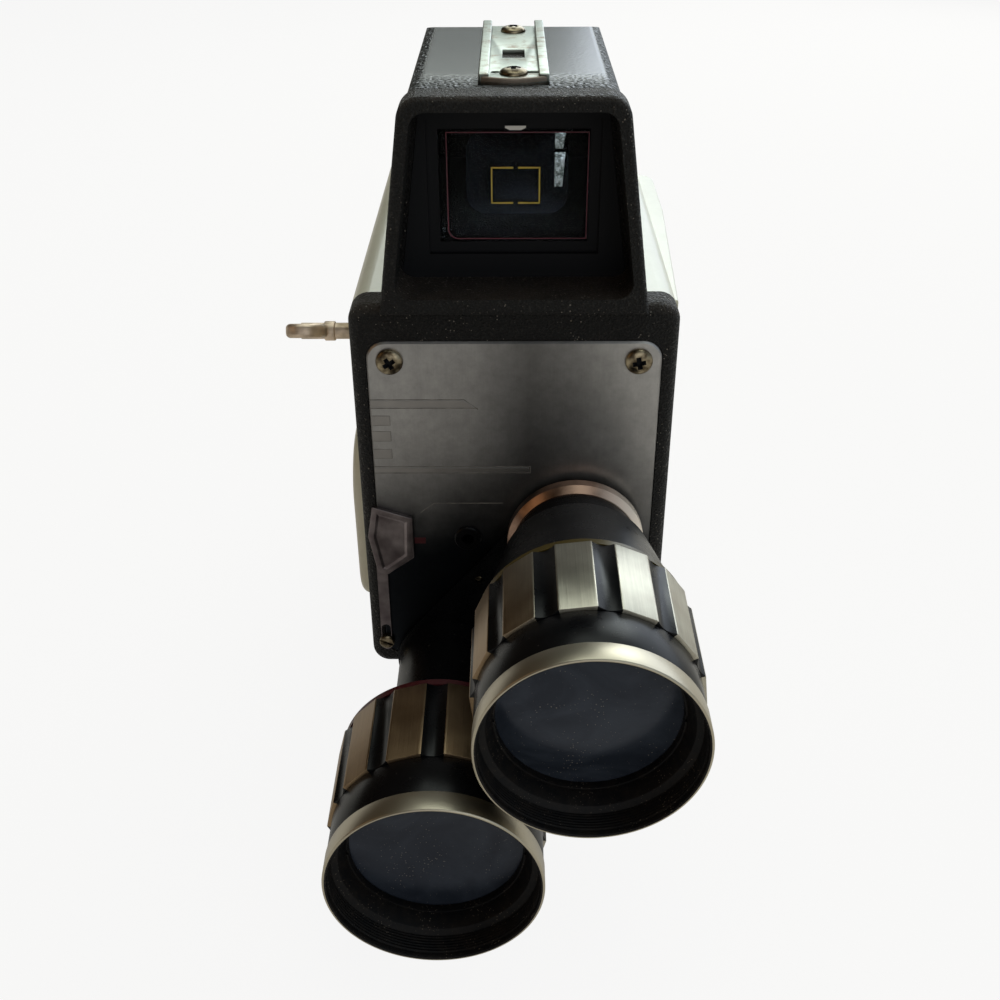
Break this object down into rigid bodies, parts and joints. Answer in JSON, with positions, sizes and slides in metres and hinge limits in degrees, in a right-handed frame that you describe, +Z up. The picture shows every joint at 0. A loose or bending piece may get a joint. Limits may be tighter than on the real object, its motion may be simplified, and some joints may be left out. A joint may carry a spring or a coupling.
{
  "type": "movie camera",
  "caption": "Spring-driven film movie camera with a lens turret carrying tele and wide converters, a large hooded box finder on top and a winding key on its side.",
  "frame": {"origin": "centre of the tripod bush's mouth in the flat base", "axes": "+Y from the lenses back to the eyepiece, +Z up, +X to the viewer's right when facing the lenses, on the film door's side"},
  "size_m": [0.0927, 0.1749, 0.1521],
  "materials": {
    "crinkle_black": "coarse wrinkle paint",
    "matte_black": "matt black paint",
    "black_enamel": "satin black enamel",
    "black_anodised": "glossy black anodising",
    "cream_enamel": "semi-gloss cream enamel",
    "brushed_aluminium": "brushed vertically",
    "satin_aluminium": "fine turned",
    "chrome_plate": "polished plate",
    "nickel_steel": "plain",
    "copper_brass": "polished",
    "plain_brass": "plain",
    "key_metal": "dull plated",
    "yellow_enamel": "gloss enamel",
    "red_enamel": "gloss enamel",
    "leatherette": "coarse grained and glossy",
    "lens_glass": "coated",
    "finder_glass": "clear",
    "soft_rubber": "matt",
    "spool_metal": "satin",
    "dial_white": "matt white"
  },
  "bodies": {
    "root": {"front_frame": "crinkle_black", "front_plate": "brushed_aluminium", "pan_screws": "nickel_steel", "body_shell": "cream_enamel", "side_cover": "cream_enamel", "hinge_pins": "nickel_steel", "tripod_bush": "nickel_steel", "turret_pivot": "nickel_steel", "pivot_spacer": "nickel_steel", "detent_ball": "nickel_steel", "detent_spring": "nickel_steel", "release_screw": "plain_brass", "release_spring": "nickel_steel", "release_socket": "chrome_plate", "taking_lens_barrel": "black_enamel", "taking_lens_glass": "lens_glass", "film_gate": "nickel_steel", "mechanism_plate": "plain_brass", "plate_pillars": "nickel_steel", "finder_hood": "crinkle_black", "finder_housing": "black_enamel", "finder_covering": "leatherette", "window_frame": "matte_black", "finder_glasses": "finder_glass", "eyepiece_tube": "black_enamel", "eyecup": "soft_rubber", "accessory_channel": "chrome_plate"},
    "turret": {"turret_bar": "black_enamel", "tele_collar": "copper_brass", "tele_neck": "black_anodised", "tele_rear_glass": "lens_glass", "tele_colour_ring": "yellow_enamel", "wide_neck": "black_anodised", "wide_rear_glass": "lens_glass", "wide_colour_ring": "red_enamel"},
    "tele_grip": {"tele_grip_ring": "satin_aluminium"},
    "tele_focus": {"tele_cell": "black_anodised", "tele_front_ring": "satin_aluminium", "tele_front_glass": "lens_glass"},
    "wide_grip": {"wide_grip_ring": "satin_aluminium"},
    "wide_focus": {"wide_cell": "black_anodised", "wide_front_ring": "satin_aluminium", "wide_front_glass": "lens_glass"},
    "release": {"release_tab": "chrome_plate"},
    "key": {"key_wing": "key_metal", "key_arbor": "key_metal"},
    "pawl": {"winding_pawl": "nickel_steel"},
    "barrel": {"spring_barrel": "plain_brass", "mainspring": "nickel_steel"},
    "centre": {"centre_wheel": "plain_brass"},
    "crown": {"crown_wheel": "plain_brass"},
    "shutter": {"shutter_disc": "matte_black"},
    "claw": {"claw_arm": "nickel_steel"},
    "pressure": {"pressure_plate": "nickel_steel"},
    "takeup": {"takeup_spindle": "nickel_steel", "takeup_spool": "spool_metal"},
    "supply": {"supply_spool": "spool_metal"},
    "counter": {"counter_dial": "dial_white"},
    "door": {"film_door": "cream_enamel"},
    "latch": {"latch_knob": "chrome_plate"}
  },
  "joints": [
    {"name": "turret_turn", "type": "hinge", "parent": "root", "child": "turret", "pos_m": [-0.00098, -0.048, 0.02034], "axis": [0, -1, 0], "range_deg": [0, 180]},
    {"name": "tele_focus_turn", "type": "hinge", "parent": "turret", "child": "tele_grip", "pos_m": [0.0134, -0.09335, 0.0376], "axis": [0, -1, 0], "range_deg": [0, 120]},
    {"name": "tele_focus_slide", "type": "slide", "parent": "turret", "child": "tele_focus", "axis": [0, -1, 0], "range_m": [0, 0.0015]},
    {"name": "wide_focus_turn", "type": "hinge", "parent": "turret", "child": "wide_grip", "pos_m": [-0.01537, -0.09335, 0.00307], "axis": [0, -1, 0], "range_deg": [0, 120]},
    {"name": "wide_focus_slide", "type": "slide", "parent": "turret", "child": "wide_focus", "axis": [0, -1, 0], "range_m": [0, 0.0015]},
    {"name": "release_press", "type": "slide", "parent": "root", "child": "release", "axis": [0, 0, -1], "range_m": [0, 0.004], "stiffness_N_per_m": 300, "springref_m": -0.002, "deforming": ["release_spring"]},
    {"name": "key_wind", "type": "hinge", "parent": "root", "child": "key", "pos_m": [-0.0442, 0.0026, 0.0638], "axis": [-1, 0, 0], "continuous": true},
    {"name": "pawl_click", "type": "hinge", "parent": "root", "child": "pawl", "pos_m": [-0.0296, 0.0156, 0.07265], "axis": [-1, 0, 0], "range_deg": [0, 12]},
    {"name": "barrel_turn", "type": "hinge", "parent": "root", "child": "barrel", "pos_m": [-0.0254, 0.0026, 0.0638], "axis": [1, 0, 0], "continuous": true},
    {"name": "centre_turn", "type": "hinge", "parent": "root", "child": "centre", "pos_m": [-0.0098, 0.01348, 0.03371], "axis": [1, 0, 0], "continuous": true},
    {"name": "crown_turn", "type": "hinge", "parent": "root", "child": "crown", "pos_m": [-0.0078, -0.004, 0.038], "axis": [1, 0, 0], "continuous": true},
    {"name": "shutter_turn", "type": "hinge", "parent": "root", "child": "shutter", "pos_m": [-0.0035, -0.0304, 0.038], "axis": [0, 1, 0], "continuous": true},
    {"name": "takeup_turn", "type": "hinge", "parent": "root", "child": "takeup", "pos_m": [-0.0046, 0.0304, 0.0276], "axis": [1, 0, 0], "continuous": true},
    {"name": "counter_turn", "type": "hinge", "parent": "root", "child": "counter", "pos_m": [-0.014, 0.058, 0.026], "axis": [0, 1, 0], "continuous": true},
    {"name": "claw_stroke", "type": "slide", "parent": "root", "child": "claw", "axis": [0, 0, 1], "range_m": [-0.0019, 0.0019]},
    {"name": "pressure_lift", "type": "slide", "parent": "root", "child": "pressure", "axis": [0, 1, 0], "range_m": [0, 0.0015], "stiffness_N_per_m": 150, "springref_m": -0.001},
    {"name": "supply_turn", "type": "hinge", "parent": "root", "child": "supply", "pos_m": [0.0134, -0.0048, 0.064], "axis": [1, 0, 0], "continuous": true},
    {"name": "door_swing", "type": "hinge", "parent": "root", "child": "door", "pos_m": [0.0355, 0.0532, 0.047], "axis": [0, 0, 1], "range_deg": [0, 110]},
    {"name": "latch_turn", "type": "hinge", "parent": "door", "child": "latch", "pos_m": [0.0335, -0.012, 0.047], "axis": [1, 0, 0], "range_deg": [0, 90]}
  ],
  "couplings": [
    {"joint": "tele_focus_slide", "follows": "tele_focus_turn", "m_per_rad": 0.00071613},
    {"joint": "wide_focus_slide", "follows": "wide_focus_turn", "m_per_rad": 0.00071613},
    {"joint": "centre_turn", "follows": "barrel_turn", "ratio": -3},
    {"joint": "crown_turn", "follows": "barrel_turn", "ratio": 6},
    {"joint": "shutter_turn", "follows": "barrel_turn", "ratio": -18},
    {"joint": "takeup_turn", "follows": "barrel_turn", "ratio": 1.2857},
    {"joint": "counter_turn", "follows": "barrel_turn", "ratio": 0.05}
  ]
}
